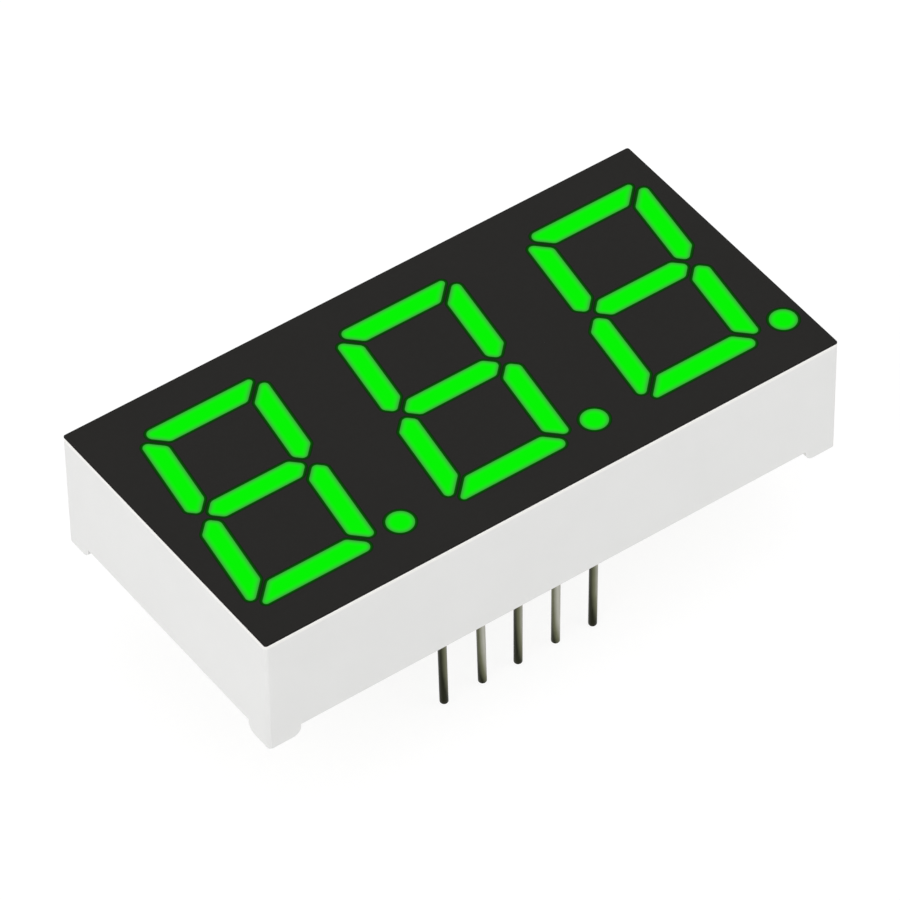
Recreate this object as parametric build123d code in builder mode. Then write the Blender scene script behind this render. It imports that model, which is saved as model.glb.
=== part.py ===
from build123d import *
import os
from math import cos, radians, sqrt, tan

# Three-digit seven segment display, in millimetres.
# +X runs along the row of digits, +Y to their tops and +Z out of the face.
# The origin is under the middle of the body, at the level of the pin tips.

# Housing, moulded in white plastic, with a reflector well behind each segment
body_length = 37.6
body_width = 19.0
body_height = 8.0  # from the tips of the corner feet to the face
foot_height = 0.7
foot_along_length = 2.05
foot_along_width = 1.9
foot_round = 0.55
wall = 1.0
upright_corner_radius = 0.25
face_edge_chamfer = 0.1
plate_thickness = 1.2  # of the face over the cored hollows
web = 0.6  # between a well's mouth and a cored hollow

# Black ink coat on the face
ink_thickness = 0.05

# Digits, measured on the face
digit_count = 3
digit_pitch = 12.7
digit_height = 14.12
digit_width = 8.16
slant_angle = 8.15
level_bar = 1.36  # height of segments a, d and g
upright_bar = 1.32  # width of segments b, c, e and f
middle_rise = 0.09  # segment g sits this far above the digit's middle
segment_gap = 0.39  # black line between neighbouring segments
tip_width = 0.42  # the segments' tips end in a short straight cut
middle_tip_width = 0.33  # where a segment points at the digit's middle
blunt_tip_width = 0.56  # left tip of segment a, right tip of segment d
keen_tip_width = 0.28  # their other tips
point_diameter = 1.56
point_across = 4.73  # decimal point, from the digit's centre
point_down = 6.36

# Throat, where a segment's well ends on the board around its chip
throat_length = 2.4
throat_width = 0.75
well_land = 0.3  # straight stretch of a well below the face
well_flare = 0.2  # by which the sloping walls would pass the segment at the face

# Circuit board and what it carries
board_thickness = 1.0
board_setback = 1.1  # from the housing's rim to the board
board_clearance = 0.15
chip_size = 0.3
chip_height = 0.18
wire_size = 0.05
wire_reach = 0.62  # from the chip's middle to the far landing
wire_rise = 0.2  # of the loop above the chip

# Pins: two rows, with the last place of the front row empty
pin_diameter = 0.5
pin_pitch = 2.54
pin_columns = 6
pin_row_spacing = 15.24
pin_reach = 6.4  # beyond the feet
pin_tip_chamfer = 0.14
pin_shank = 0.42  # side of the shank, squared by coining so that it grips in the board
pin_shank_clearance = 0.01  # round the shank's corners in the board's hole
pin_head = 0.4  # above the board
pin_head_clearance = 0.25
missing_pin = 6

# Potting resin behind the board
resin_setback = 0.4  # from the housing's rim to the resin
meniscus_height = 0.2
meniscus_lip = 0.03

# Levels above the pin tips
feet_z = pin_reach
rim_z = feet_z + foot_height
face_z = feet_z + body_height
plate_top_z = face_z - ink_thickness
board_back_z = rim_z + board_setback
board_front_z = board_back_z + board_thickness
resin_z = rim_z + resin_setback
pocket_length = body_length - 2 * wall
pocket_width = body_width - 2 * wall
board_length = pocket_length - 2 * board_clearance
board_width = pocket_width - 2 * board_clearance
up = Vector(0, 0, 1)

os.makedirs("parts", exist_ok=True)


def keep(piece, name):
    """Label a finished piece and write it."""
    piece.part.label = name
    export_step(piece.part, f"parts/{name}.step")


# Segment outlines. A line is (a, b, c), for a * x + b * y = c, from the digit's centre.
slant = tan(radians(slant_angle))
half_height = digit_height / 2
half_width = digit_width / 2
inner_height = half_height - level_bar
inner_width = half_width - upright_bar
cut = segment_gap / sqrt(2)  # moves a 45 degree cut by half a gap


def slanted(across, height):
    """Place on the leaning digit of a place on an upright one."""
    return (across + slant * height, height)


def rail(across):
    """Leaning side line of an upright segment."""
    return (1, -slant, across)


def level(height):
    """Level side line of segments a, d and g."""
    return (0, 1, height)


def falling(corner, shift):
    """Mitre that falls to the right past a corner."""
    return (1, 1, corner[0] + corner[1] + shift)


def rising(corner, shift):
    """Mitre that rises to the right past a corner."""
    return (-1, 1, corner[1] - corner[0] + shift)


def meet(first, second):
    """Point where two lines cross."""
    a, b, c = first
    d, e, f = second
    scale = a * e - b * d
    return ((c * e - b * f) / scale, (a * f - c * d) / scale)


top_left = slanted(-inner_width, inner_height)
top_right = slanted(inner_width, inner_height)
bottom_left = slanted(-inner_width, -inner_height)
bottom_right = slanted(inner_width, -inner_height)
middle_left = slanted(-half_width + upright_bar / 2, middle_rise)
middle_right = slanted(half_width - upright_bar / 2, middle_rise)

# Each segment: whether it is upright, its side lines in order round it, and the width of
# the tip where each line meets the next, with 0 for the wide corners that stay crisp
segments = {
    "a": (False,
          [level(half_height), rising(top_right, cut), level(inner_height), falling(top_left, cut)],
          [keen_tip_width, 0, 0, blunt_tip_width]),
    "b": (True,
          [rail(half_width), rising(top_right, -cut), rail(inner_width),
           falling(middle_right, cut), rising(middle_right, cut)],
          [tip_width, 0, 0, middle_tip_width, 0]),
    "c": (True,
          [rail(half_width), falling(middle_right, -cut), rising(middle_right, -cut),
           rail(inner_width), falling(bottom_right, cut)],
          [0, middle_tip_width, 0, 0, tip_width]),
    "d": (False,
          [level(-half_height), falling(bottom_right, -cut), level(-inner_height),
           rising(bottom_left, -cut)],
          [blunt_tip_width, 0, 0, keen_tip_width]),
    "e": (True,
          [rail(-half_width), rising(bottom_left, cut), rail(-inner_width),
           falling(middle_left, -cut), rising(middle_left, -cut)],
          [tip_width, 0, 0, middle_tip_width, 0]),
    "f": (True,
          [rail(-half_width), falling(top_left, -cut), rail(-inner_width),
           rising(middle_left, cut), falling(middle_left, cut)],
          [tip_width, 0, 0, middle_tip_width, 0]),
    "g": (False,
          [level(middle_rise + level_bar / 2), falling(middle_right, -cut),
           rising(middle_right, cut), level(middle_rise - level_bar / 2),
           falling(middle_left, cut), rising(middle_left, -cut)],
          [0, middle_tip_width, 0, 0, middle_tip_width, 0]),
}


def outline(name):
    """Points round a segment on the face, with its tips cut short."""
    upright, lines, tips = segments[name]
    following = lines[1:] + lines[:1]
    corners = [Vector(*meet(line, after)) for line, after in zip(lines, following)]
    points = []
    for number, (corner, tip) in enumerate(zip(corners, tips)):
        if not tip:
            points.append(corner)
            continue
        back = (corners[number - 1] - corner).normalized()
        ahead = (corners[(number + 1) % len(corners)] - corner).normalized()
        trim = tip / (back - ahead).length
        points += [corner + back * trim, corner + ahead * trim]
    return [(point.X, point.Y) for point in points]


def middle(name):
    """Middle of a segment on the face."""
    across = [x - slant * y for x, y in outline(name)]
    height = [y for x, y in outline(name)]
    return slanted((min(across) + max(across)) / 2, (min(height) + max(height)) / 2)


def chip_plane(digit_x, name):
    """Board plane at a chip, with its x along the segment, or from the point to its digit."""
    if name == "point":
        return Plane((digit_x + point_across, -point_down, board_front_z), x_dir=(-1, 0, 0))
    x, y = middle(name)
    along = (slant, 1, 0) if segments[name][0] else (1, 0, 0)
    return Plane((digit_x + x, y, board_front_z), x_dir=along)


def wall_plane(board_plane, direction):
    """Upright plane through a chip, with its x along the direction and its y up."""
    return Plane(board_plane.origin, x_dir=direction, z_dir=direction.cross(up))


digits = {n: (n - (digit_count + 1) / 2) * digit_pitch for n in range(1, digit_count + 1)}
well_depth = face_z - board_front_z


def sloping_walls(board_plane, direction, throat_span, face_span):
    """Section of a well between two walls that slope in from the face to its throat."""
    wide = face_span + 2 * well_flare
    with BuildSketch(wall_plane(board_plane, direction)) as section:
        with BuildLine():
            Polyline(
                (-throat_span / 2, 0),
                (throat_span / 2, 0),
                (wide / 2, well_depth - well_land),
                (wide / 2, well_depth),
                (-wide / 2, well_depth),
                (-wide / 2, well_depth - well_land),
                close=True,
            )
        make_face()
    return section.sketch


# Light well of each segment: straight below the face, then drawn in along and across to
# the throat round the chip. The resin that sets in a well has the well's shape.
wells = {}
for digit, digit_x in digits.items():
    for name, (upright, lines, tips) in segments.items():
        seat = chip_plane(digit_x, name)
        bar = upright_bar * cos(radians(slant_angle)) if upright else level_bar
        with BuildPart() as well:
            with BuildSketch(Plane.XY.offset(board_front_z)):
                with BuildLine():
                    Polyline(*[(digit_x + x, y) for x, y in outline(name)], close=True)
                make_face()
            extrude(amount=well_depth)
            reach = [(Vector(digit_x + x, y) - seat.origin).dot(seat.x_dir) for x, y in outline(name)]
            lengthwise = sloping_walls(seat, seat.x_dir, throat_length, max(reach) - min(reach))
            extrude(lengthwise, amount=digit_height, both=True, mode=Mode.INTERSECT)
            crosswise = sloping_walls(seat, seat.y_dir, throat_width, bar)
            extrude(crosswise, amount=digit_height, both=True, mode=Mode.INTERSECT)
        wells[digit, name] = well.part
    with BuildPart() as well:
        with BuildSketch(chip_plane(digit_x, "point")):
            Circle(point_diameter / 2)
        extrude(amount=well_depth)
    wells[digit, "point"] = well.part

# Chips and their bond wires, a set for each digit
wells_of_a_digit = [*segments, "point"]
chips = {}
wires = {}
for digit, digit_x in digits.items():
    with BuildPart() as led_chips:
        for name in wells_of_a_digit:
            with BuildSketch(chip_plane(digit_x, name)):
                Rectangle(chip_size, chip_size)
            extrude(amount=chip_height)
    chips[digit] = led_chips.part
    keep(led_chips, f"digit_{digit}_led_chips")

    with BuildPart() as bond_wires:
        for name in wells_of_a_digit:
            loop_top = chip_height + wire_rise
            seat = chip_plane(digit_x, name)
            with BuildSketch(wall_plane(seat, seat.x_dir)):
                with BuildLine():
                    Polyline(
                        (-wire_size / 2, chip_height),
                        (wire_size / 2, chip_height),
                        (chip_size, loop_top - wire_size),
                        (wire_reach - wire_size / 2, 0),
                        (wire_reach + wire_size / 2, 0),
                        (chip_size, loop_top),
                        close=True,
                    )
                make_face()
            extrude(amount=wire_size / 2, both=True)
    wires[digit] = bond_wires.part
    keep(bond_wires, f"digit_{digit}_bond_wires")

# Resin segments and decimal points, cast round the chips and wires
for (digit, name), well_shape in wells.items():
    with BuildPart() as plug:
        add(well_shape)
        add(chips[digit], mode=Mode.SUBTRACT)
        add(wires[digit], mode=Mode.SUBTRACT)
    keep(plug, f"digit_{digit}_decimal_point" if name == "point" else f"digit_{digit}_segment_{name}")


def leaning_box(digit_x, left, right, low, high):
    """Outline of a hollow whose sides lean with the digit."""
    places = [slanted(left, low), slanted(right, low), slanted(right, high), slanted(left, high)]
    return Polyline(*[(digit_x + x, y) for x, y in places], close=True)


# Housing: block with the board's pocket behind, hollows cored between the wells, and feet
with BuildPart() as housing:
    with BuildSketch(Plane.XY.offset(rim_z)):
        RectangleRounded(body_length, body_width, upright_corner_radius)
    extrude(amount=plate_top_z - rim_z)
    chamfer(housing.faces().sort_by(Axis.Z)[-1].edges(), face_edge_chamfer)

    # Feet follow the wall at each corner and are rounded at their inner ends
    with BuildSketch(Plane.XY.offset(rim_z)):
        RectangleRounded(body_length, body_width, upright_corner_radius)
        Rectangle(pocket_length, pocket_width, mode=Mode.SUBTRACT)
        Rectangle(body_length - 2 * foot_along_length, body_width, mode=Mode.SUBTRACT)
        Rectangle(body_length, body_width - 2 * foot_along_width, mode=Mode.SUBTRACT)
    extrude(amount=-foot_height)
    foot_ends = [
        edge
        for edge in housing.edges().filter_by_position(Axis.Z, feet_z - 0.01, feet_z + 0.01)
        if abs(edge.length - wall) < 0.01
    ]
    fillet(foot_ends, foot_round)

    # Pocket for the board and the resin
    with BuildSketch(Plane.XY.offset(rim_z)):
        Rectangle(pocket_length, pocket_width)
    extrude(amount=board_front_z - rim_z, mode=Mode.SUBTRACT)

    # Hollows inside the loops of each digit, leaning with it
    core_depth = plate_top_z - plate_thickness - board_front_z
    core_half_width = inner_width - web
    upper_loop = (middle_rise + level_bar / 2 + web, inner_height - web)
    lower_loop = (-inner_height + web, middle_rise - level_bar / 2 - web)
    with BuildSketch(Plane.XY.offset(board_front_z)):
        for digit_x in digits.values():
            for low, high in (upper_loop, lower_loop):
                with BuildLine():
                    leaning_box(digit_x, -core_half_width, core_half_width, low, high)
                make_face()
    extrude(amount=core_depth, mode=Mode.SUBTRACT)

    # Hollows between neighbouring digits, above the decimal points
    space_low = -point_down + point_diameter / 2 + web
    with BuildSketch(Plane.XY.offset(board_front_z)):
        for digit_x in list(digits.values())[:-1]:
            with BuildLine():
                leaning_box(digit_x, half_width + web, digit_pitch - half_width - web,
                            space_low, inner_height)
            make_face()
    extrude(amount=core_depth, mode=Mode.SUBTRACT)

    # Grooves that clear the pin heads
    with BuildSketch(Plane.XY.offset(board_front_z)):
        with GridLocations(0, pin_row_spacing, 1, 2):
            Rectangle(pin_columns * pin_pitch, pin_shank + 2 * pin_head_clearance)
    extrude(amount=pin_head + pin_head_clearance, mode=Mode.SUBTRACT)

    for well_shape in wells.values():
        add(well_shape, mode=Mode.SUBTRACT)
keep(housing, "reflector_housing")

# Ink coat: covers the face inside its rounded edge, open over each well
with BuildPart() as ink:
    with BuildSketch(Plane.XY.offset(plate_top_z)):
        RectangleRounded(
            body_length - 2 * face_edge_chamfer,
            body_width - 2 * face_edge_chamfer,
            upright_corner_radius - face_edge_chamfer,
        )
    extrude(amount=ink_thickness)
    for well_shape in wells.values():
        add(well_shape, mode=Mode.SUBTRACT)
keep(ink, "face_ink")

# Pin places, numbered along the front row and back along the other
first_column = -(pin_columns - 1) / 2 * pin_pitch
pin_places = {}
for column in range(pin_columns):
    x = first_column + column * pin_pitch
    pin_places[column + 1] = (x, -pin_row_spacing / 2)
    pin_places[2 * pin_columns - column] = (x, pin_row_spacing / 2)
del pin_places[missing_pin]

# Each pin is round up to the housing's rim, and square in the resin and the board
for number, (x, y) in sorted(pin_places.items()):
    with BuildPart() as pin:
        with BuildSketch(Plane((x, y, 0))):
            Circle(pin_diameter / 2)
        extrude(amount=rim_z)
        chamfer(pin.edges().sort_by(Axis.Z)[0], pin_tip_chamfer)
        with BuildSketch(Plane((x, y, rim_z))):
            Rectangle(pin_shank, pin_shank)
        extrude(amount=board_front_z + pin_head - rim_z)
    keep(pin, f"pin_{number}")

# Circuit board, drilled for the pins
with BuildPart() as board:
    with BuildSketch(Plane.XY.offset(board_back_z)):
        Rectangle(board_length, board_width)
        with Locations(*pin_places.values()):
            Circle(pin_shank / sqrt(2) + pin_shank_clearance, mode=Mode.SUBTRACT)
    extrude(amount=board_thickness)
keep(board, "circuit_board")

# Potting resin: fills the pocket behind and round the board and climbs a little at the wall
with BuildPart() as resin:
    with BuildSketch(Plane.XY.offset(resin_z - meniscus_height)):
        Rectangle(pocket_length, pocket_width)
    extrude(amount=board_front_z - resin_z + meniscus_height)
    with BuildSketch(Plane.XY.offset(resin_z)):
        Rectangle(pocket_length - 2 * meniscus_lip, pocket_width - 2 * meniscus_lip)
    extrude(amount=-meniscus_height, mode=Mode.SUBTRACT)
    open_face = resin.faces().filter_by_position(Axis.Z, resin_z - 0.01, resin_z + 0.01)[0]
    fillet(open_face.edges(), meniscus_height - meniscus_lip)
    with BuildSketch(Plane.XY.offset(board_back_z)):
        Rectangle(board_length, board_width)
    extrude(amount=board_thickness, mode=Mode.SUBTRACT)
    with BuildSketch(Plane.XY.offset(board_back_z)):
        with Locations(*pin_places.values()):
            Rectangle(pin_shank, pin_shank)
    extrude(amount=-board_setback, mode=Mode.SUBTRACT)
keep(resin, "potting_resin")
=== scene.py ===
# %% [markdown]
# # A three-digit light display, finished for the picture
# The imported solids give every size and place. This lesson keeps the solids whose shape is
# already right and gives them a finish. It swaps those whose fine curves the solids leave
# out, such as the rounded tips of the light segments, for meshes made here.
# Lengths are written in millimetres and turned into metres at the last moment.

from math import cos, exp, pi, radians, sin, sqrt, tan

import bmesh
import bpy
from mathutils import Matrix, Vector


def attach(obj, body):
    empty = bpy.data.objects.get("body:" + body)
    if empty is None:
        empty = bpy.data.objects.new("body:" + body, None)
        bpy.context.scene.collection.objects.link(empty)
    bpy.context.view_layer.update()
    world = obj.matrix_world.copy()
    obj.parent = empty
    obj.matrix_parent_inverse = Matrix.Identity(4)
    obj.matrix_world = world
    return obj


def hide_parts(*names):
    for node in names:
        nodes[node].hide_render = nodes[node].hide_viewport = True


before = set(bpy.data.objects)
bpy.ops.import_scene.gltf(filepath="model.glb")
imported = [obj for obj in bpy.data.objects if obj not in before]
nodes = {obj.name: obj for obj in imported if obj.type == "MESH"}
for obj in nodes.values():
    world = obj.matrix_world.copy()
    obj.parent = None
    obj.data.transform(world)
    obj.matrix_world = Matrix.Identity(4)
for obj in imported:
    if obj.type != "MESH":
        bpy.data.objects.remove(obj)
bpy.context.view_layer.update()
MM = 0.001

# %% [markdown]
# ## Camera
# The photograph looks down on the near corner from some way off with a long lens, so upright
# edges stay nearly parallel. A camera could be pushed about by eye, but its place can be
# worked out from the corners of the face. Here it is written as a photographer would set it:
# the point aimed at, how far off, how far round, how high, and a slight tilt of the horizon.

# %% Camera
aim = Vector((-0.07, 0.24, 9.5)) * MM
distance = 385.98 * MM
around, above, tilt = radians(-35.028), radians(45.902), radians(-0.978)
back = Vector((sin(around) * cos(above), -cos(around) * cos(above), sin(above)))

camera = bpy.data.objects.new("camera", bpy.data.cameras.new("camera"))
bpy.context.scene.collection.objects.link(camera)
camera.location = aim + back * distance
turn = (-back).to_track_quat("-Z", "Y").to_matrix() @ Matrix.Rotation(tilt, 3, "Z")
camera.rotation_euler = turn.to_euler()
# The lens, as a distance in pixels of a picture that is 900 pixels wide, and the film's width
lens_pixels, picture_pixels, film_width = 7142.7, 900, 36
camera.data.sensor_width = film_width
camera.data.lens = lens_pixels / picture_pixels * film_width
camera.data.clip_start, camera.data.clip_end = 0.01, 20
bpy.context.scene.camera = camera
print("lens", round(camera.data.lens, 1), "mm, place", [round(x, 4) for x in camera.location])

# %% [markdown]
# ## Helpers for materials
# A finish is a small tree of nodes. Adding each node by hand takes three or four lines, so
# one helper adds a node, sets its options and fills or links its sockets in one call.

# %% Node helper
def start_finish(name):
    """New empty material."""
    material = bpy.data.materials.new(name)
    material.use_nodes = True
    material.node_tree.nodes.clear()
    return material


def add(material, kind, sockets=(), **options):
    """Add a node. Sockets are (name or number, value or another node's output)."""
    tree = material.node_tree
    made = tree.nodes.new("ShaderNode" + kind)
    for option, value in options.items():
        setattr(made, option, value)
    for socket, value in sockets:
        if isinstance(value, bpy.types.NodeSocket):
            tree.links.new(value, made.inputs[socket])
        else:
            made.inputs[socket].default_value = value
    return made


def close_finish(material, shader):
    """Send a shader to the output, and tell which material is ready."""
    add(material, "OutputMaterial", [("Surface", shader.outputs[0])])
    print("finish", material.name, "with", len(material.node_tree.nodes), "nodes")
    return material


def grain(material, scale, detail=4.0, roughness=0.55, stretch=(1, 1, 1)):
    """Noise fixed to the object, with a scale in features a millimetre."""
    place = add(material, "TexCoord").outputs["Object"]
    sized = add(material, "Mapping", [("Vector", place), ("Scale", [x / MM for x in stretch])])
    return add(material, "TexNoise", [("Vector", sized.outputs[0]), ("Scale", scale),
                                      ("Detail", detail), ("Roughness", roughness)]).outputs["Fac"]


def between(material, factor, low, high):
    """Spread a 0 to 1 factor between two numbers."""
    return add(material, "MapRange", [("Value", factor), ("To Min", low), ("To Max", high)]).outputs[0]


def blend(material, factor, first, second):
    """Mix two colours, each a tuple or an output."""
    mixer = add(material, "Mix", data_type="RGBA")
    tree = material.node_tree
    tree.links.new(factor, mixer.inputs["Factor"])
    for socket, value in ((6, first), (7, second)):
        if isinstance(value, bpy.types.NodeSocket):
            tree.links.new(value, mixer.inputs[socket])
        else:
            mixer.inputs[socket].default_value = (*value, 1)
    return mixer.outputs[2]


def bumps(material, height, strength, depth):
    """Fine relief from a height factor, with a depth in millimetres."""
    return add(material, "Bump", [("Height", height), ("Strength", strength),
                                  ("Distance", depth * MM)]).outputs["Normal"]


def give(finish, *names):
    """Put a finish in the first slot of each named solid."""
    for name in names:
        data = nodes[name].data
        if data.materials:
            data.materials[0] = finish
        else:
            data.materials.append(finish)


# %% [markdown]
# ## Moulded white housing
# The housing is injection moulded in white polycarbonate that is loaded with pigment, so it
# bounces the light of the segments. Its outer walls carry the fine even grain of a spark
# eroded mould. A plain white would look like paper, so the colour drifts by about one part
# in a hundred, the gloss varies, and a shallow bump gives the grain. Along the top, where the
# walls meet the face, a band of painted highlight turns the walls a creamier white.

# %% Housing finish
# Heights between which a band of painted highlight turns the walls creamy
highlight_band_from, highlight_band_to = 14.02, 14.22
white = start_finish("housing_white")
drift = grain(white, 0.22, 3)
plain = blend(white, drift, (0.775, 0.775, 0.765), (0.815, 0.815, 0.805))
height = add(white, "SeparateXYZ", [(0, add(white, "TexCoord").outputs["Object"])]).outputs["Z"]
painted_highlight_band = add(white, "MapRange", [("Value", height), ("From Min", highlight_band_from * MM),
                                   ("From Max", highlight_band_to * MM)], clamp=True).outputs[0]
# Painted highlight: the walls turn a creamier white in a band just under the face
tone = blend(white, painted_highlight_band, plain, (0.93, 0.92, 0.89))
mould_grain = grain(white, 9, 3, 0.6)
satin = between(white, grain(white, 3.5), 0.40, 0.55)
close_finish(white, add(white, "BsdfPrincipled", [
    ("Base Color", tone), ("Roughness", satin), ("IOR", 1.585),
    ("Normal", bumps(white, mould_grain, 0.25, 0.006))]))
give(white, "reflector_housing")

# %% [markdown]
# A moulding has no knife edges: the mould's corners are rounded by a few hundredths of a
# millimetre, and each rounded edge catches its own thin line of light. The solid is right in
# all its flats, so it stays, and two modifiers round it: a weld joins the loose facets and a
# bevel rolls every sharp edge.

# %% Rounded edges of the housing
weld_distance = 0.0005
edge_radius = 0.045
housing = nodes["reflector_housing"]
housing.modifiers.new("weld", "WELD").merge_threshold = weld_distance * MM
roll = housing.modifiers.new("roll", "BEVEL")
roll.width, roll.segments = edge_radius * MM, 3
roll.limit_method, roll.angle_limit = "ANGLE", radians(40)
roll.harden_normals = True
print("housing has", len(housing.data.polygons), "faces before its modifiers")

# %% [markdown]
# ## Outlines of the light segments
# On the face a digit is drawn upright and then leant over, as the printing film was. Each
# segment lies between straight lines: its two long sides, and short cuts at 45 degrees that
# keep a dark gap to the next segment. Crossing the lines gives the corners, and each corner
# is then rounded by its own radius, because the tips of the real windows are soft.

# %% Lines of a digit
digit_pitch, digit_height, digit_width = 12.7, 14.12, 8.16
digit_places = {digit: (digit - 2) * digit_pitch for digit in (1, 2, 3)}
slant = tan(radians(8.15))
half_height, half_width = digit_height / 2, digit_width / 2
level_bar, upright_bar = 1.36, 1.32
inner_height, inner_width = half_height - level_bar, half_width - upright_bar
middle_rise, segment_gap = 0.09, 0.39
# Adding this to the last number of a 45 degree line moves the line by half the gap
cut = segment_gap / sqrt(2)
face_z, board_z = 14.4, 9.2


# A line is written as three numbers a, b, c, and holds the places where a * x + b * y = c
def leant(across, height):
    """Place on the leaning digit of a place on the upright one."""
    return (across + slant * height, height)


def rail(across):
    """Leaning line, some way across from the digit's middle."""
    return (1, -slant, across)


def level(height):
    """Level line at a height."""
    return (0, 1, height)


def falling(corner, shift):
    """45 degree line down to the right past a corner."""
    return (1, 1, corner[0] + corner[1] + shift)


def rising(corner, shift):
    """45 degree line up to the right past a corner."""
    return (-1, 1, corner[1] - corner[0] + shift)


def meet(first, second):
    """Place where two lines cross."""
    a, b, c = first
    d, e, f = second
    return Vector(((c * e - b * f), (a * f - c * d))) / (a * e - b * d)


upper_left, upper_right = leant(-inner_width, inner_height), leant(inner_width, inner_height)
lower_left, lower_right = leant(-inner_width, -inner_height), leant(inner_width, -inner_height)
middle_left = leant(-half_width + upright_bar / 2, middle_rise)
middle_right = leant(half_width - upright_bar / 2, middle_rise)
print("a digit leans", round(slant * digit_height, 2), "mm over its height")

# %% [markdown]
# A segment is now a list of its lines, in order round it. Beside each line stands the radius
# of the corner where it meets the next one: the tips are keener than the corners inside the
# digit. A list of points would also do, but it would have to be worked out again for every
# change of a gap or a bar's width, and the lines follow such a change by themselves.

# %% Sides and corner radii of each segment
keen, soft, wide, broad, inner = 0.20, 0.29, 0.35, 0.38, 0.40
least_radius = 0.02
sides = {
    "a": [(level(half_height), keen), (rising(upper_right, cut), inner),
          (level(inner_height), inner), (falling(upper_left, cut), broad)],
    "b": [(rail(half_width), soft), (rising(upper_right, -cut), inner),
          (rail(inner_width), inner), (falling(middle_right, cut), soft),
          (rising(middle_right, cut), wide)],
    "c": [(rail(half_width), wide), (falling(middle_right, -cut), soft),
          (rising(middle_right, -cut), inner), (rail(inner_width), inner),
          (falling(lower_right, cut), soft)],
    "d": [(level(-half_height), broad), (falling(lower_right, -cut), inner),
          (level(-inner_height), inner), (rising(lower_left, -cut), keen)],
    "e": [(rail(-half_width), soft), (rising(lower_left, cut), inner),
          (rail(-inner_width), inner), (falling(middle_left, -cut), soft),
          (rising(middle_left, -cut), wide)],
    "f": [(rail(-half_width), soft), (falling(upper_left, -cut), inner),
          (rail(-inner_width), inner), (rising(middle_left, cut), soft),
          (falling(middle_left, cut), wide)],
    "g": [(level(middle_rise + level_bar / 2), inner), (falling(middle_right, -cut), soft),
          (rising(middle_right, cut), inner), (level(middle_rise - level_bar / 2), inner),
          (falling(middle_left, cut), soft), (rising(middle_left, -cut), inner)],
}


def rounded(corners, radii, steps=7):
    """Points round a polygon whose corners are arcs of the given radii."""
    points = []
    for number, (corner, radius) in enumerate(zip(corners, radii)):
        before = (corners[number - 1] - corner).normalized()
        after = (corners[(number + 1) % len(corners)] - corner).normalized()
        half = before.angle(after) / 2
        centre = corner + (before + after).normalized() * radius / sin(half)
        first = corner + before * radius / tan(half) - centre
        sweep = first.angle_signed(corner + after * radius / tan(half) - centre)
        for step in range(steps + 1):
            turned = Matrix.Rotation(-sweep * step / steps, 2) @ first
            points.append(centre + turned)
    return points


def window(name, inset=0.0):
    """Outline of a window from the digit's centre, anticlockwise, moved inwards by inset."""
    if name == "point":
        turns = [2 * pi * step / point_steps for step in range(point_steps)]
        return [point_centre + Vector((cos(t), sin(t))) * (point_radius - inset) for t in turns]
    lines = [line for line, radius in sides[name]]
    radii = [max(radius - inset, least_radius) for line, radius in sides[name]]
    corners = [meet(line, lines[(n + 1) % len(lines)]) for n, line in enumerate(lines)]
    middle = sum(corners, Vector((0, 0))) / len(corners)
    moved = []
    for a, b, c in lines:
        room = a * middle.x + b * middle.y - c
        moved.append((a, b, c + inset * sqrt(a * a + b * b) * (1 if room > 0 else -1)))
    corners = [meet(line, moved[(n + 1) % len(moved)]) for n, line in enumerate(moved)]
    points = rounded(corners, radii)
    area = sum(p.x * q.y - q.x * p.y for p, q in zip(points, points[1:] + points[:1]))
    return points if area > 0 else points[::-1]


point_centre, point_radius, point_steps = Vector((4.73, -6.36)), 0.78, 64
window_names = [*sides, "point"]
for name in window_names:
    print("window", name, "has", len(window(name)), "points")

# %% [markdown]
# ## Helper for meshes
# Most pieces here are skins stretched over rings of points: a light segment, a pin, a solder
# cone. One helper joins ring after ring with faces and closes the two ends where asked.

# %% Skin over rings
def piece_from(name, mesh, finish, slot, *stands_for):
    """Make a finished piece of the object from a mesh in millimetres."""
    mesh.transform(Matrix.Scale(MM, 4))
    mesh.materials.append(finish)
    made = bpy.data.objects.new(name, mesh)
    bpy.context.scene.collection.objects.link(made)
    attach(made, "root")
    if stands_for:
        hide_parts(*stands_for)
    return made


def skin(shape, rings, lids=True):
    """Join rings of equal length with faces, and close the two ends if lids is true."""
    made = [[shape.verts.new(point) for point in ring] for ring in rings]
    for one, two in zip(made, made[1:]):
        for n in range(len(one)):
            m = (n + 1) % len(one)
            shape.faces.new((one[n], one[m], two[m], two[n]))
    if lids:
        shape.faces.new(made[0][::-1])
        shape.faces.new(made[-1])
    return made


def mesh_of(name, shape, sharp_from):
    """Turn a bmesh into mesh data, smooth except across edges that turn by more than an angle."""
    bmesh.ops.recalc_face_normals(shape, faces=shape.faces)
    mesh = bpy.data.meshes.new(name)
    for face in shape.faces:
        face.smooth = True
    for edge in shape.edges:
        if len(edge.link_faces) == 2 and edge.calc_face_angle(0) > sharp_from:
            edge.smooth = False
    shape.to_mesh(mesh)
    shape.free()
    return mesh


# %% [markdown]
# ## Lit resin of the segments
# A segment is a plug of milky resin cast in its light well, over the chip. Lit, it glows an
# even pure green, so the light comes from the shader: an emission of exactly that green at
# strength one shows as it is written. Towards the wall of its window the resin gets less of
# the chip's light and is a little milkier, so a number kept in the mesh, one at the wall and
# nought inside, mixes in a duller and paler green.

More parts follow.
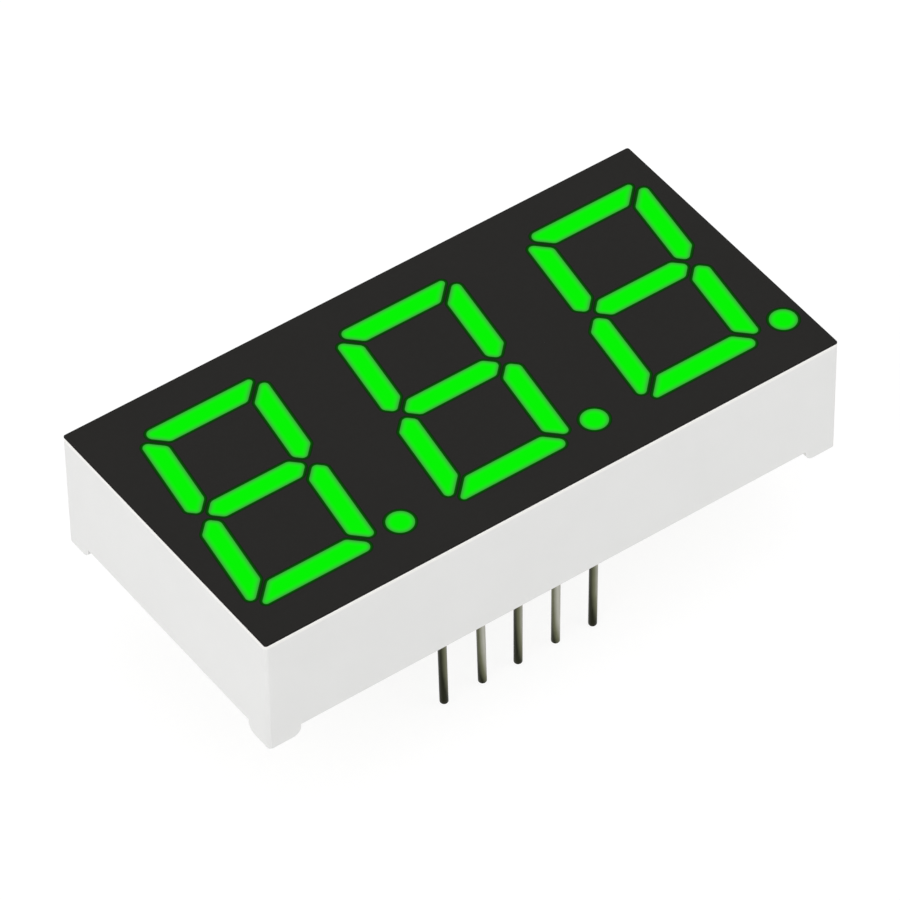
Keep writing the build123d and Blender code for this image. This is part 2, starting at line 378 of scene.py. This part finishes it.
# %% Lit finish
lit = start_finish("lit_green_resin")
rim = add(lit, "Attribute", attribute_name="window_rim", attribute_type="GEOMETRY").outputs["Fac"]
cloud = between(lit, grain(lit, 1.6, 2), 0.0, 0.03)
veil = add(lit, "Math", [(0, rim), (1, cloud)], operation="MAXIMUM", use_clamp=True).outputs[0]
glow = blend(lit, veil, (0.0, 0.90, 0.0), (0.045, 0.36, 0.045))
close_finish(lit, add(lit, "BsdfPrincipled", [
    ("Base Color", blend(lit, veil, (0.0015, 0.01, 0.001), (0.004, 0.03, 0.004))),
    ("Roughness", between(lit, grain(lit, 5), 0.32, 0.45)), ("Specular IOR Level", 0.0),
    ("Emission Color", glow), ("Emission Strength", 1.0),
    ("Normal", bumps(lit, grain(lit, 1.1, 2), 0.2, 0.01))]))

# %% [markdown]
# The plug follows its well: flush with the face at its rim, a touch hollow inside it where
# the resin shrank, straight for the first stretch, and then drawn in to the throat round the
# chip. The rings are the same outline, moved inwards or squeezed towards the throat. Moving
# the points would fold the small corners, so the outline's lines are moved instead.

# %% Light segments and points
well_land, throat_length, throat_width = 0.3, 2.4, 0.75
# The plug ends a hair above the board, because two faces in one place flicker
board_skin = 0.01
# The resin sinks by this over the first two steps from the wall, and then lies flat
hollow = 0.012
# Steps from the wall inwards, and how much of the wall's dullness is left there
rim_steps = [(0.0, 1.0), (0.06, 0.85), (0.12, 0.55), (0.20, 0.26), (0.30, 0.08), (0.40, 0.0)]


def throat_of(name, points):
    """Outline squeezed to the throat, along and across the segment."""
    if name == "point":
        return points
    heights = [p.y for p in points]
    acrosses = [p.x - slant * p.y for p in points]
    centre = Vector(leant((min(acrosses) + max(acrosses)) / 2, (min(heights) + max(heights)) / 2))
    long_way = Vector((slant, 1)).normalized() if name in "bcef" else Vector((1, 0))
    short_way = Vector((-long_way.y, long_way.x))
    spans = [[(p - centre).dot(way) for p in points] for way in (long_way, short_way)]
    scales = [size / (max(span) - min(span)) for size, span in zip((throat_length, throat_width), spans)]
    return [centre + long_way * u * scales[0] + short_way * v * scales[1] for u, v in zip(*spans)]


def resin_plug(digit, name):
    """Piece for the resin in one well, from its throat to the middle of its window."""
    shape = bmesh.new()
    rim_layer = shape.verts.layers.float.new("window_rim")
    outline = window(name)
    stages = [(throat_of(name, outline), board_z + board_skin, 1), (outline, face_z - well_land, 1)]
    for number, (inset, share) in enumerate(rim_steps):
        depth = hollow * min(number / 2, 1)
        stages.append((window(name, inset), face_z - depth, share))
    digit_x = digit_places[digit]
    rings = skin(shape, [[(digit_x + p.x, p.y, z) for p in points] for points, z, share in stages])
    for ring, (points, z, share) in zip(rings, stages):
        for vert in ring:
            vert[rim_layer] = share
    node = f"digit_{digit}_decimal_point" if name == "point" else f"digit_{digit}_segment_{name}"
    return piece_from("resin_of_" + node, mesh_of(node, shape, radians(35)), lit, "segment_green", node)


plugs = [resin_plug(digit, name) for digit in digit_places for name in window_names]
print(len(plugs), "plugs,", sum(len(plug.data.polygons) for plug in plugs), "faces")

# %% [markdown]
# ## Black ink on the face
# The face is screen printed with matt black ink so that only the windows show. Along each
# window the ink ends in a thin bead, blacker than the rest, with a painted green glow where
# it is thinnest that stands in for the segments' light. The bead could be painted by a pattern, but it
# has to follow every window, so it is modelled, and a number in its mesh says how thin it is and how
# much painted glow it gets.

# %% Ink finishes
black = start_finish("printed_black")
haze = grain(black, 0.12, 2)
dust = grain(black, 14, 2, 0.7)
close_finish(black, add(black, "BsdfPrincipled", [
    ("Base Color", blend(black, haze, (0.0085, 0.0080, 0.0070), (0.0115, 0.0108, 0.0098))),
    ("Roughness", between(black, grain(black, 2.5), 0.48, 0.62)), ("Specular IOR Level", 0.11),
    ("Normal", bumps(black, dust, 0.35, 0.004))]))

bead_black = start_finish("ink_bead")
thin = add(bead_black, "Attribute", attribute_name="ink_thin_and_glow", attribute_type="GEOMETRY").outputs["Fac"]
# Painted glow: a green emission stands in for the segments' light on the ink, strongest where it is
# thinnest
close_finish(bead_black, add(bead_black, "BsdfPrincipled", [
    ("Base Color", blend(bead_black, thin, (0.0040, 0.0036, 0.0034), (0.0006, 0.0010, 0.0006))),
    ("Roughness", between(bead_black, grain(bead_black, 2.5), 0.40, 0.55)),
    ("Specular IOR Level", 0.0), ("Emission Strength", 1.0),
    ("Emission Color", blend(bead_black, thin, (0, 0, 0), (0.001, 0.12, 0.001)))]))

# %% [markdown]
# The ink is one thin sheet with a hole for each window. A flat curve fills its outline and
# leaves its inner loops open by itself, and an extrusion gives it the thickness of the ink,
# which is less work than cutting holes in a mesh. Its upright walls are then taken away, and
# rings take their place: they make the bead round each window and roll the sheet's border a
# little way over the housing's edge. Welding the rings to the sheet leaves one closed skin.

# %% Ink sheet with its windows
ink_thickness, flat_gap, ink_corner, ink_weld = 0.05, 0.1, 0.15, 0.001
face_x, face_y = 18.8, 9.5
# Steps from the window outwards, how far the ink has sunk there, and how thin it is, which also sets its
# painted glow
bead_steps = [(0.0, 0.014, 1.0), (0.06, 0.004, 0.62), (0.12, 0.0, 0.35), (0.18, 0.0, 0.18)]
# Steps out to the border: gap to the face's edge, and depth of the ink's top and underside
border_steps = [(flat_gap, 0.0, 0.05), (0.085, 0.0, 0.055), (0.06, 0.01, 0.07), (0.03, 0.04, 0.09)]


def border(gap):
    """Rounded rectangle, a gap inside the face's edge."""
    x, y = face_x - gap, face_y - gap
    corners = [Vector((x, y)), Vector((-x, y)), Vector((-x, -y)), Vector((x, -y))]
    return rounded(corners, [ink_corner] * 4)


sheet = bpy.data.curves.new("ink_outline", "CURVE")
sheet.dimensions, sheet.fill_mode, sheet.extrude = "2D", "BOTH", ink_thickness / 2
bead_width = bead_steps[-1][0]
loops = [border(flat_gap)] + [[p + Vector((x, 0)) for p in window(name, -bead_width)]
                              for x in digit_places.values() for name in window_names]
for loop in loops:
    spline = sheet.splines.new("POLY")
    spline.points.add(len(loop) - 1)
    for place, point in zip(spline.points, loop):
        place.co = (point.x, point.y, 0, 1)
    spline.use_cyclic_u = True
stencil = bpy.data.objects.new("ink_outline", sheet)
bpy.context.scene.collection.objects.link(stencil)
bpy.context.view_layer.update()
flat_ink = bpy.data.meshes.new_from_object(stencil)
flat_ink.transform(Matrix.Translation((0, 0, face_z - ink_thickness / 2)))
bpy.data.objects.remove(stencil)
print("ink sheet has", len(loops) - 1, "windows and", len(flat_ink.polygons), "faces")

# %% Beads round the windows and along the border
ink_shape = bmesh.new()
ink_shape.from_mesh(flat_ink)
thin_and_glow_layer = ink_shape.verts.layers.float.new("ink_thin_and_glow")
ink_shape.normal_update()
walls = [face for face in ink_shape.faces if abs(face.normal.z) < 0.5]
bmesh.ops.delete(ink_shape, geom=walls, context="FACES")
underside = face_z - ink_thickness
for x in digit_places.values():
    for name in window_names:
        stages = [(bead_width, underside, bead_steps[-1][2]), (0.0, underside, 1.0),
                  *[(out, face_z - sunk, share) for out, sunk, share in bead_steps]]
        strip = [[(x + p.x, p.y, z) for p in window(name, -out)] for out, z, share in stages]
        for ring, (out, z, share) in zip(skin(ink_shape, strip, lids=False), stages):
            for vert in ring:
                vert[thin_and_glow_layer] = share
for face in ink_shape.faces:
    face.material_index = 1 if face.verts[0][thin_and_glow_layer] > 0 else 0
over = [(gap, face_z - top) for gap, top, below in border_steps]
under = [(gap, face_z - below) for gap, top, below in reversed(border_steps)]
skin(ink_shape, [[(p.x, p.y, z) for p in border(gap)] for gap, z in over + under], lids=False)
bmesh.ops.remove_doubles(ink_shape, verts=ink_shape.verts, dist=ink_weld)
for face in ink_shape.faces:
    if face.material_index == 1:
        for vert in face.verts:
            vert[thin_and_glow_layer] = max(vert[thin_and_glow_layer], bead_steps[-1][2])
open_edges = sum(1 for edge in ink_shape.edges if len(edge.link_faces) != 2)
print("ink skin has", open_edges, "open edges")
ink = piece_from("ink_on_face", mesh_of("ink_on_face", ink_shape, radians(50)), black, "face_black",
                 "face_ink")
ink.data.materials.append(bead_black)
print("ink now has", len(ink.data.polygons), "faces in", len(ink.data.materials), "finishes")

# %% [markdown]
# ## Pins
# The pins are straight wire, dipped in tin that has gone dull and olive. Each pin has its own
# amount, partly dullness and partly painted shade and painted reflection; one side of each pin
# gets painted shade, and the pins get darker towards the tip. Fine streaks run along the wire
# where it was drawn. All this depends on a place's pin, side and height, so it is worked out
# point by point and kept in the mesh as a number. Over the first half of that number the tin turns
# olive, and over the second half nearly black.

# %% Tin finish
tin = start_finish("tin_with_painted_shade")
streaks = grain(tin, 7, 5, 0.6, (1, 1, 0.04))
blotches = grain(tin, 1.1, 3, 0.5, (1, 1, 0.5))
dullness_and_shade = add(tin, "Attribute", attribute_name="dullness_and_shade", attribute_type="GEOMETRY").outputs["Fac"]
uneven = add(tin, "Math", [(0, dullness_and_shade), (1, between(tin, blotches, -0.12, 0.12))],
             operation="ADD", use_clamp=True).outputs[0]
first_half = add(tin, "MapRange", [("Value", uneven), ("From Max", 0.5)], clamp=True).outputs[0]
last_half = add(tin, "MapRange", [("Value", uneven), ("From Min", 0.5)], clamp=True).outputs[0]
clean = blend(tin, streaks, (0.36, 0.36, 0.31), (0.50, 0.50, 0.44))
olive = blend(tin, streaks, (0.125, 0.130, 0.075), (0.170, 0.175, 0.110))
# Near black, reached where the painted shade of the side and the darker tip add up
tarnish_and_shade = blend(tin, streaks, (0.010, 0.011, 0.005), (0.022, 0.024, 0.012))
aged_and_shaded = blend(tin, last_half, blend(tin, first_half, clean, olive), tarnish_and_shade)
close_finish(tin, add(tin, "BsdfPrincipled", [
    ("Base Color", aged_and_shaded), ("Metallic", 1.0),
    ("Roughness", between(tin, streaks, 0.32, 0.50)),
    ("Normal", bumps(tin, streaks, 0.3, 0.004))]))

# %% [markdown]
# The cut ends were tumbled to a dome, and the shank is squared where it grips in the board.
# A skin of rings makes all of it, as on a lathe: each ring is a circle or, for the shank, a
# softened square. Handling has bent the free ends of some pins by a tenth of a millimetre,
# and the first four of the front row were cut a quarter of a millimetre shorter.

# %% Pins with domed tips
pin_radius, shank, rim_z, pin_top = 0.25, 0.42, 7.1, 9.6
pin_pitch, outer_pin, pin_row = 2.54, 6.35, 7.62
pins = {}
for column in range(6):
    x = -outer_pin + pin_pitch * column
    pins[column + 1], pins[12 - column] = (x, -pin_row), (x, pin_row)
# The sixth place is empty
del pins[6]
# What some pins have of their own, in the order of the names: how much duller or brighter they
# are than the rest, partly painted shade and painted reflection, how far their tip is bent along the
# row, and how much shorter they were cut
own_dullness_and_shade = {1: 0.24, 2: -0.30, 3: -0.02, 4: -0.40, 5: 0.0, 7: -0.15, 8: 0.2, 9: -0.3, 12: -0.1}
own_bend = {1: 0.10, 2: 0.12, 3: -0.04, 4: -0.06, 5: -0.09, 8: 0.08, 11: -0.06}
own_cut = {1: 0.25, 2: 0.24, 3: 0.23, 4: 0.27}
# Bearing of the side of each pin that gets painted shade, then how much painted shade that side gets,
# how much darker the tip gets, and how far up that darkening reaches
shaded_side = radians(145)
painted_side_shade, tip_darkening, tip_reach = 1.05, 1.15, 1.4
square_corner, tip_zone = 1.32, 1.0


def ring_at(centre, radius, z, squareness=0.0, count=32):
    """Circle, or a softened square of the same half width as squareness nears one."""
    points = []
    for n in range(count):
        t = 2 * pi * (n + 0.5) / count
        to_square = 1 / max(abs(cos(t)), abs(sin(t)))
        reach = radius * (1 + squareness * (min(to_square, square_corner) - 1))
        points.append((centre[0] + reach * cos(t), centre[1] + reach * sin(t), z))
    return points


def dullness_and_shade_at(point, centre, own):
    """Dullness and painted shade of a place on a pin: its own, painted shade on one side, and darker
    towards its tip.
    """
    out_way = Vector((point[0] - centre[0], point[1] - centre[1])).normalized()
    side = 0.5 + 0.5 * out_way.dot(Vector((cos(shaded_side), sin(shaded_side))))
    return max(0, min(1, own + painted_side_shade * side + tip_darkening * exp(-point[2] / tip_reach)))


dome = 0.2
profile = [(pin_radius * sin(t), dome * (1 - cos(t)), 0)
           for t in (radians(a) for a in (8, 20, 33, 46, 60, 75, 90))]
profile += [(pin_radius, z, 0) for z in (0.5, 0.9, 1.4, 2.0, 2.8, 3.8, 5.2, rim_z)]
profile += [(shank / 2, rim_z + 0.05, 1), (shank / 2, pin_top, 1)]
for number, place in pins.items():
    shape = bmesh.new()
    layer = shape.verts.layers.float.new("dullness_and_shade")
    bend, cut_off = own_bend.get(number, 0), own_cut.get(number, 0)
    centres = [(place[0] + bend * max(0, 1 - z / rim_z), place[1]) for radius, z, square in profile]
    steps = [(radius, z + cut_off * max(0, 1 - z / tip_zone), square) for radius, z, square in profile]
    rings = skin(shape, [ring_at(centre, *step) for centre, step in zip(centres, steps)])
    for centre, ring in zip(centres, rings):
        for vert in ring:
            vert[layer] = dullness_and_shade_at(vert.co, centre, own_dullness_and_shade.get(number, 0))
    piece_from(f"tinned_pin_{number}", mesh_of(f"pin_{number}", shape, radians(40)), tin,
               "tinned_pin", f"pin_{number}")
print(len(pins), "pins with", len(profile), "rings each")

# %% [markdown]
# ## Underside: board, copper, solder and resin
# Turned over, the display shows its circuit board under a skin of clear casting resin. The
# board is glass cloth in yellow-green resin, and its weave shows faintly as two crossed sets
# of bands. The tinned copper on it is a few hundredths thick, so it is laid on as real thin
# lands and tracks, and each pin stands in a hollow-sided cone of solder.

# %% Board finish
laminate = start_finish("glass_laminate")
spot = add(laminate, "TexCoord").outputs["Object"]
warp, weft = [add(laminate, "TexWave", [("Vector", spot), ("Scale", 520), ("Distortion", 1.5)],
                  bands_direction=way).outputs["Fac"] for way in "XY"]
weave = add(laminate, "Math", [(0, warp), (1, weft)], operation="MULTIPLY").outputs[0]
close_finish(laminate, add(laminate, "BsdfPrincipled", [
    ("Base Color", blend(laminate, weave, (0.33, 0.37, 0.14), (0.44, 0.46, 0.21))),
    ("Roughness", between(laminate, grain(laminate, 4), 0.35, 0.5)),
    ("Normal", bumps(laminate, weave, 0.2, 0.01))]))
give(laminate, "circuit_board")

# %% [markdown]
# Solder and tinned copper are the same bright metal, a little rippled where it froze. A mirror
# would look like chrome, so the ripple sets the colour, the roughness and the relief together.

# %% Solder finish
solder = start_finish("solder")
ripple = grain(solder, 2.5, 3)
close_finish(solder, add(solder, "BsdfPrincipled", [
    ("Base Color", blend(solder, ripple, (0.50, 0.50, 0.48), (0.66, 0.66, 0.64))),
    ("Metallic", 1.0), ("Roughness", between(solder, ripple, 0.22, 0.42)),
    ("Normal", bumps(solder, ripple, 0.3, 0.02))]))

# %% [markdown]
# The copper could be a pattern painted on the board, but its edge shows from below, so each
# track is a thin strip and each land a thin disc. A pin's track runs straight in from its land
# and then out along the row to a round end. Counted from the end of the row, each track turns
# further in than the one before it, so no two of them cross. The solder's cones are skins of
# rings, like the pins.

# %% Lands, tracks and solder cones
board_back = 8.2
land_radius, end_radius, copper, track_width = 0.85, 0.45, 0.035, 0.4


def flat_strip(shape, start, end, width, top, depth):
    """Straight track with square ends, hanging below the level top."""
    start, end = Vector(start), Vector(end)
    side = (end - start).normalized().orthogonal() * width / 2
    ring = [start + side, end + side, end - side, start - side]
    skin(shape, [[(p.x, p.y, z) for p in ring] for z in (top - depth, top)])


turn_step, longest_track, end_step = 0.21, 17.2, 2.1
tracks = bmesh.new()
for x, y in pins.values():
    count = 1 + round((outer_pin - abs(x)) / pin_pitch)
    way = 1 if x > 0 else -1
    turn_y = y * (1 - turn_step * count)
    end_x = way * (longest_track - end_step * count)
    skin(tracks, [ring_at((x, y), land_radius, z) for z in (board_back - copper, board_back)])
    flat_strip(tracks, (x, y), (x, turn_y), track_width, board_back, copper)
    flat_strip(tracks, (x - way * track_width / 2, turn_y), (end_x, turn_y), track_width, board_back,
               copper)
    skin(tracks, [ring_at((end_x, turn_y), end_radius, z) for z in (board_back - copper, board_back)])
copper_piece = piece_from("copper_lands", mesh_of("copper_lands", tracks, radians(30)), solder,
                          "board_laminate")

# Radius of a solder cone, and how far down the pin it is measured
slope = [(0.72, 0.0), (0.58, 0.05), (0.44, 0.14), (0.34, 0.28), (0.28, 0.46), (pin_radius, 0.62)]
cones = bmesh.new()
for place in pins.values():
    skin(cones, [ring_at(place, radius, board_back - copper - down) for radius, down in slope])
cone_piece = piece_from("solder_cones", mesh_of("solder_cones", cones, radians(50)), solder,
                        "tinned_pin")
print("copper", len(copper_piece.data.polygons), "faces, solder", len(cone_piece.data.polygons))

# %% [markdown]
# ## Casting resin
# The resin behind the board is clear and slightly yellow, with a glassy skin that sank a
# little as it set. Real refraction would need many bounces for a layer seen only from
# below, so a partly see-through gloss does: it tints what is under it and mirrors the room.
# The resin lies face to face with the board, and two faces in one place flicker, so a
# displacement draws the resin's skin in by a few thousandths of a millimetre.

# %% Resin finish
clear = start_finish("casting_resin")
sunk = grain(clear, 0.35, 2)
close_finish(clear, add(clear, "BsdfPrincipled", [
    ("Base Color", blend(clear, sunk, (0.62, 0.58, 0.40), (0.70, 0.67, 0.50))),
    ("Alpha", 0.24), ("IOR", 1.5),
    ("Roughness", between(clear, grain(clear, 2), 0.06, 0.14)),
    ("Normal", bumps(clear, sunk, 0.4, 0.05))]))
clear.blend_method = "BLEND"
give(clear, "potting_resin")
resin = nodes["potting_resin"]
resin.modifiers.new("weld", "WELD").merge_threshold = weld_distance * MM
skin_sinks = 0.006
draw_in = resin.modifiers.new("draw_in", "DISPLACE")
draw_in.mid_level, draw_in.strength = 0, -skin_sinks * MM
print("resin of", len(resin.data.polygons), "faces")

# %% [markdown]
# ## Inside the wells
# The chips and their wires are buried in the resin plugs and never seen unless the object is
# cut open. They still get the finish of the real thing: slightly cloudy crystal with a high
# gloss for the chips, and bright drawn metal for the wires.

# %% Chip and wire finishes
crystal = start_finish("chip_crystal")
lattice = grain(crystal, 12, 2)
close_finish(crystal, add(crystal, "BsdfPrincipled", [
    ("Base Color", blend(crystal, lattice, (0.10, 0.18, 0.09), (0.25, 0.35, 0.20))),
    ("Roughness", between(crystal, lattice, 0.12, 0.3)), ("IOR", 2.2)]))
bright_wire = start_finish("bright_wire")
draw_marks = grain(bright_wire, 20, 2)
close_finish(bright_wire, add(bright_wire, "BsdfPrincipled", [
    ("Base Color", blend(bright_wire, draw_marks, (0.72, 0.72, 0.73), (0.86, 0.86, 0.87))),
    ("Metallic", 1.0), ("Roughness", between(bright_wire, draw_marks, 0.15, 0.3))]))
for digit in digit_places:
    give(crystal, f"digit_{digit}_led_chips")
    give(bright_wire, f"digit_{digit}_bond_wires")

# %% [markdown]
# ## Floor and light
# The object stands on its pin tips on a plain white table. Seen by the camera, the table and
# the room are plain white. The table adds its missing whiteness only where it is looked at,
# directly or in a reflection, so it lights the object no more than a pale table would and
# still takes a soft shadow. From below it lets the camera look through, so that the
# underside can be inspected.

# %% Floor
def looked_at(material):
    """One where a surface is seen, directly, in a reflection or through glass."""
    rays = add(material, "LightPath").outputs
    mirrored = add(material, "Math", [(0, rays["Is Glossy Ray"]), (1, rays["Is Transmission Ray"])],
                   operation="MAXIMUM").outputs[0]
    return add(material, "Math", [(0, rays["Is Camera Ray"]), (1, mirrored)],
               operation="MAXIMUM").outputs[0]


floor_white = start_finish("white_table")
paper = add(floor_white, "BsdfDiffuse", [
    ("Color", blend(floor_white, grain(floor_white, 0.02, 2), (0.90, 0.90, 0.90), (0.92, 0.92, 0.92)))])
bright = add(floor_white, "Emission", [("Color", (1, 1, 1, 1)), ("Strength", 1.07)])
share = between(floor_white, looked_at(floor_white), 0.0, 0.82)
seen = add(floor_white, "MixShader", [("Fac", share), (1, paper.outputs[0]), (2, bright.outputs[0])])
behind = add(floor_white, "NewGeometry").outputs["Backfacing"]
close_finish(floor_white, add(floor_white, "MixShader", [
    ("Fac", behind), (1, seen.outputs[0]), (2, add(floor_white, "BsdfTransparent").outputs[0])]))
table_half = 1.5
table = bpy.data.meshes.new("table")
table.from_pydata([(-table_half, -table_half, 0), (table_half, -table_half, 0),
                   (table_half, table_half, 0), (-table_half, table_half, 0)], [], [(0, 1, 2, 3)])
table.materials.append(floor_white)
floor = bpy.data.objects.new("floor", table)
bpy.context.scene.collection.objects.link(floor)
print("table", 2 * table_half, "m square")

# %% [markdown]
# Three large square lamps give soft light. The left one sets the tone of the end wall and the
# right one that of the front wall, and the top one, a little behind, evens out the face. One
# lamp would leave a wall dark, and small lamps would cut hard shadows. The room adds an even
# light from all sides.

# %% Lamps
body_middle = Vector((0, 0, 10)) * MM


def soft_lamp(name, around_deg, above_deg, away, size, power):
    """Square lamp that faces the object from a bearing and a height."""
    turn_round, lift_up = radians(around_deg), radians(above_deg)
    direction = Vector((sin(turn_round) * cos(lift_up), -cos(turn_round) * cos(lift_up), sin(lift_up)))
    lamp = bpy.data.lights.new(name, "AREA")
    lamp.shape, lamp.size, lamp.energy = "SQUARE", size, power
    made = bpy.data.objects.new(name, lamp)
    made.location = body_middle + direction * away
    made.rotation_euler = (-direction).to_track_quat("-Z", "Y").to_euler()
    bpy.context.scene.collection.objects.link(made)
    print(name, "gives", power, "watts from", away, "m away")


soft_lamp("lamp_left", around_deg=-75, above_deg=40, away=0.6, size=0.35, power=0.93)
soft_lamp("lamp_right", around_deg=35, above_deg=35, away=0.6, size=0.35, power=0.42)
soft_lamp("lamp_top", around_deg=150, above_deg=75, away=0.6, size=0.4, power=0.5)

room = bpy.data.worlds.new("room")
bpy.context.scene.world = room
room.use_nodes = True
room.node_tree.nodes.clear()
strength = between(room, looked_at(room), 0.7, 1.0)
sky = add(room, "Background", [("Color", (1, 1, 1, 1)), ("Strength", strength)])
add(room, "OutputWorld", [("Surface", sky.outputs[0])])

# %% [markdown]
# ## Colour view
# The picture uses the Standard view, so a colour shows as it is written.

# %% Finish
bpy.context.scene.view_settings.view_transform = "Standard"
